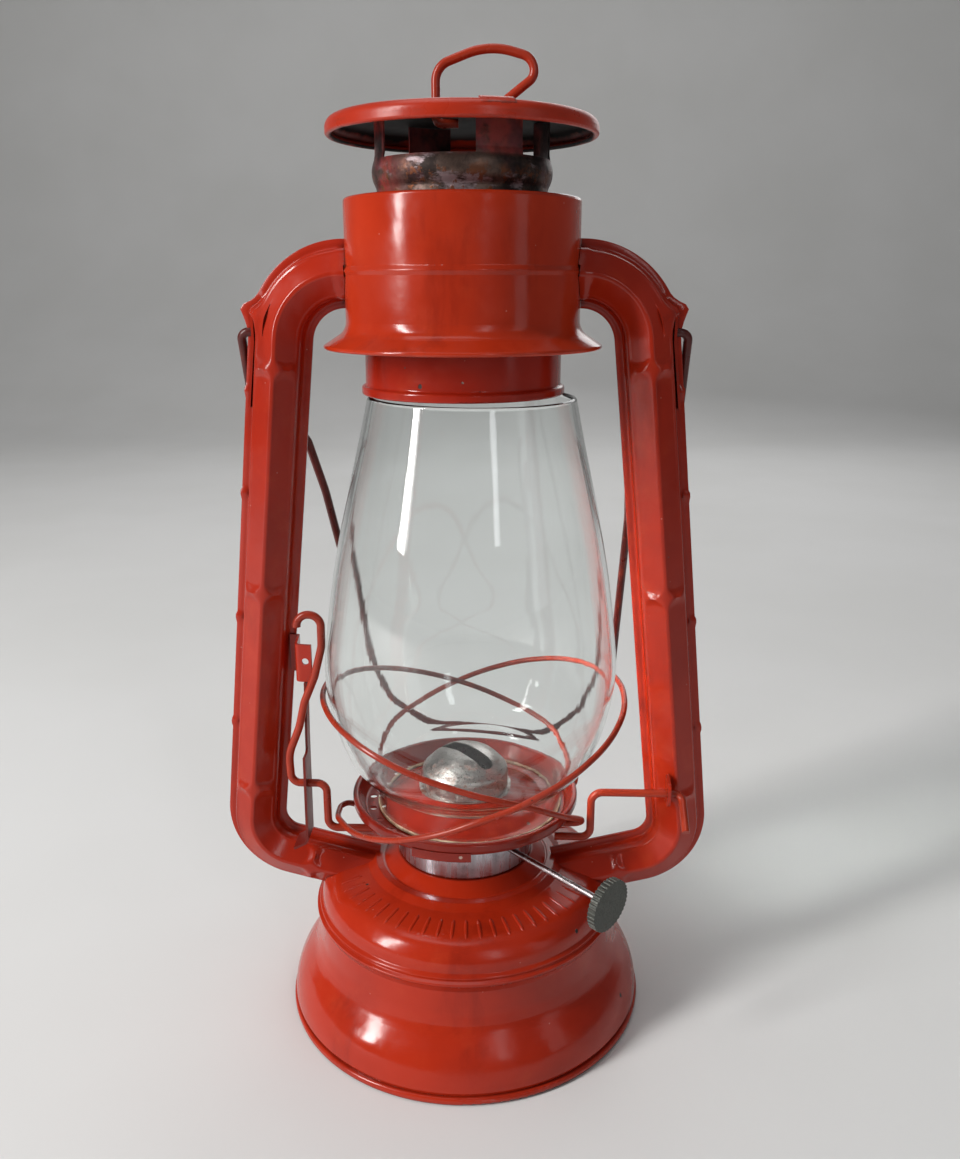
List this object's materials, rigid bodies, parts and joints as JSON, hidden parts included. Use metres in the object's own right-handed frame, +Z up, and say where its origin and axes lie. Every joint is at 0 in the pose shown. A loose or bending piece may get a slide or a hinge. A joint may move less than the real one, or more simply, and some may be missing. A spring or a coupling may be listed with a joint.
{
  "type": "railroad lantern",
  "caption": "Tubular oil lantern: round fount, two side air tubes, drum with flared skirt and vented crown, clear globe that lifts on a wire lever, wick knob and swinging bail.",
  "frame": {"origin": "centre of the base rim on the table, on the lantern's upright axis", "axes": "+Z up along the axis; +X towards the right air tube seen from the front; -Y is the front, where the globe guard crosses and the lift wires run; +Y is the rear, where the bail hangs"},
  "size_m": [0.2056, 0.1616, 0.3841],
  "materials": {
    "fount_skirt": "gloss enamel",
    "fount_floor": "gloss enamel",
    "fount_dome": "gloss enamel",
    "filler_neck": "gloss enamel",
    "fount_collar": "dull enamel",
    "burner_band": "brushed zinc plate",
    "burner_deck": "brushed zinc plate",
    "wick_tube": "brushed zinc plate",
    "air_chamber": "gloss enamel",
    "chimney_spring": "bright steel",
    "tube_left_front": "gloss enamel",
    "tube_left_rear": "gloss enamel",
    "tube_right_front": "gloss enamel",
    "tube_right_rear": "gloss enamel",
    "bail_ear_left": "gloss enamel",
    "bail_ear_right": "gloss enamel",
    "lever_bracket": "gloss enamel",
    "lever_catch": "gloss enamel",
    "arm_bracket": "gloss enamel",
    "filler_cap": "brushed zinc plate",
    "wick_shaft": "bright steel",
    "wick_wheels": "bright steel",
    "wick_knob": "dull grey face, bright milled edge",
    "wick": "woven cotton, charred at the tip",
    "globe_plate": "gloss enamel",
    "plate_guide": "gloss enamel",
    "burner_dome": "steel, spotted with rust",
    "globe": "clear",
    "guard_ring_a": "gloss enamel",
    "guard_ring_b": "gloss enamel",
    "chimney_collar": "gloss enamel",
    "chimney": "heat-burnt enamel",
    "crown": "gloss enamel",
    "lift_ring": "gloss enamel",
    "bail": "worn enamel",
    "lift_lever": "gloss enamel",
    "lift_arm": "gloss enamel"
  },
  "bodies": {
    "frame": {"fount_skirt": "fount_skirt", "fount_floor": "fount_floor", "fount_dome": "fount_dome", "filler_neck": "filler_neck", "fount_collar": "fount_collar", "burner_band": "burner_band", "burner_deck": "burner_deck", "wick_tube": "wick_tube", "air_chamber": "air_chamber", "chimney_spring": "chimney_spring", "tube_left_front": "tube_left_front", "tube_left_rear": "tube_left_rear", "tube_right_front": "tube_right_front", "tube_right_rear": "tube_right_rear", "bail_ear_left": "bail_ear_left", "bail_ear_right": "bail_ear_right", "lever_bracket": "lever_bracket", "lever_catch": "lever_catch", "arm_bracket": "arm_bracket"},
    "cap": {"filler_cap": "filler_cap"},
    "wick_feed": {"wick_shaft": "wick_shaft", "wick_wheels": "wick_wheels", "wick_knob": "wick_knob"},
    "wick_strip": {"wick": "wick"},
    "carriage": {"globe_plate": "globe_plate", "plate_guide": "plate_guide", "burner_dome": "burner_dome", "globe": "globe", "guard_ring_a": "guard_ring_a", "guard_ring_b": "guard_ring_b"},
    "hood": {"chimney_collar": "chimney_collar", "chimney": "chimney", "crown": "crown"},
    "ring": {"lift_ring": "lift_ring"},
    "handle": {"bail": "bail"},
    "lever": {"lift_lever": "lift_lever"},
    "arm": {"lift_arm": "lift_arm"}
  },
  "joints": [
    {"name": "cap_turn", "type": "hinge", "parent": "frame", "child": "cap", "pos_m": [0, 0.0505, 0.066], "axis": [0, 0, 1], "continuous": true},
    {"name": "wick_turn", "type": "hinge", "parent": "frame", "child": "wick_feed", "pos_m": [-0.00308, -0.00342, 0.0819], "axis": [0.7421, -0.6682, -0.0523], "range_deg": [-294, 48]},
    {"name": "wick_travel", "type": "slide", "parent": "frame", "child": "wick_strip", "axis": [0, 0, 1], "range_m": [-0.0181, 0.0031]},
    {"name": "globe_lift", "type": "slide", "parent": "frame", "child": "carriage", "axis": [0, 0, 1], "range_m": [0, 0.0122]},
    {"name": "lever_swing", "type": "hinge", "parent": "frame", "child": "lever", "pos_m": [-0.0625, -0.017, 0.1055], "axis": [1, 0, 0], "range_deg": [0, 65.2]},
    {"name": "arm_swing", "type": "hinge", "parent": "frame", "child": "arm", "pos_m": [0.084, -0.017, 0.1033], "axis": [1, 0, 0], "range_deg": [0, 65.2]},
    {"name": "hood_lift", "type": "slide", "parent": "carriage", "child": "hood", "axis": [0, 0, 1], "range_m": [0, 0.014], "deforming": ["chimney_spring"]},
    {"name": "ring_swing", "type": "hinge", "parent": "hood", "child": "ring", "pos_m": [0.0028, 0, 0.3584], "axis": [1, 0, 0], "range_deg": [-40, 40]},
    {"name": "bail_swing", "type": "hinge", "parent": "frame", "child": "handle", "pos_m": [0, 0, 0.286], "axis": [1, 0, 0], "range_deg": [0, 300]}
  ],
  "couplings": [
    {"joint": "wick_travel", "follows": "wick_turn", "m_per_rad": 0.0035},
    {"joint": "lever_swing", "follows": "globe_lift", "rad_per_m": 93},
    {"joint": "arm_swing", "follows": "globe_lift", "rad_per_m": 93}
  ]
}
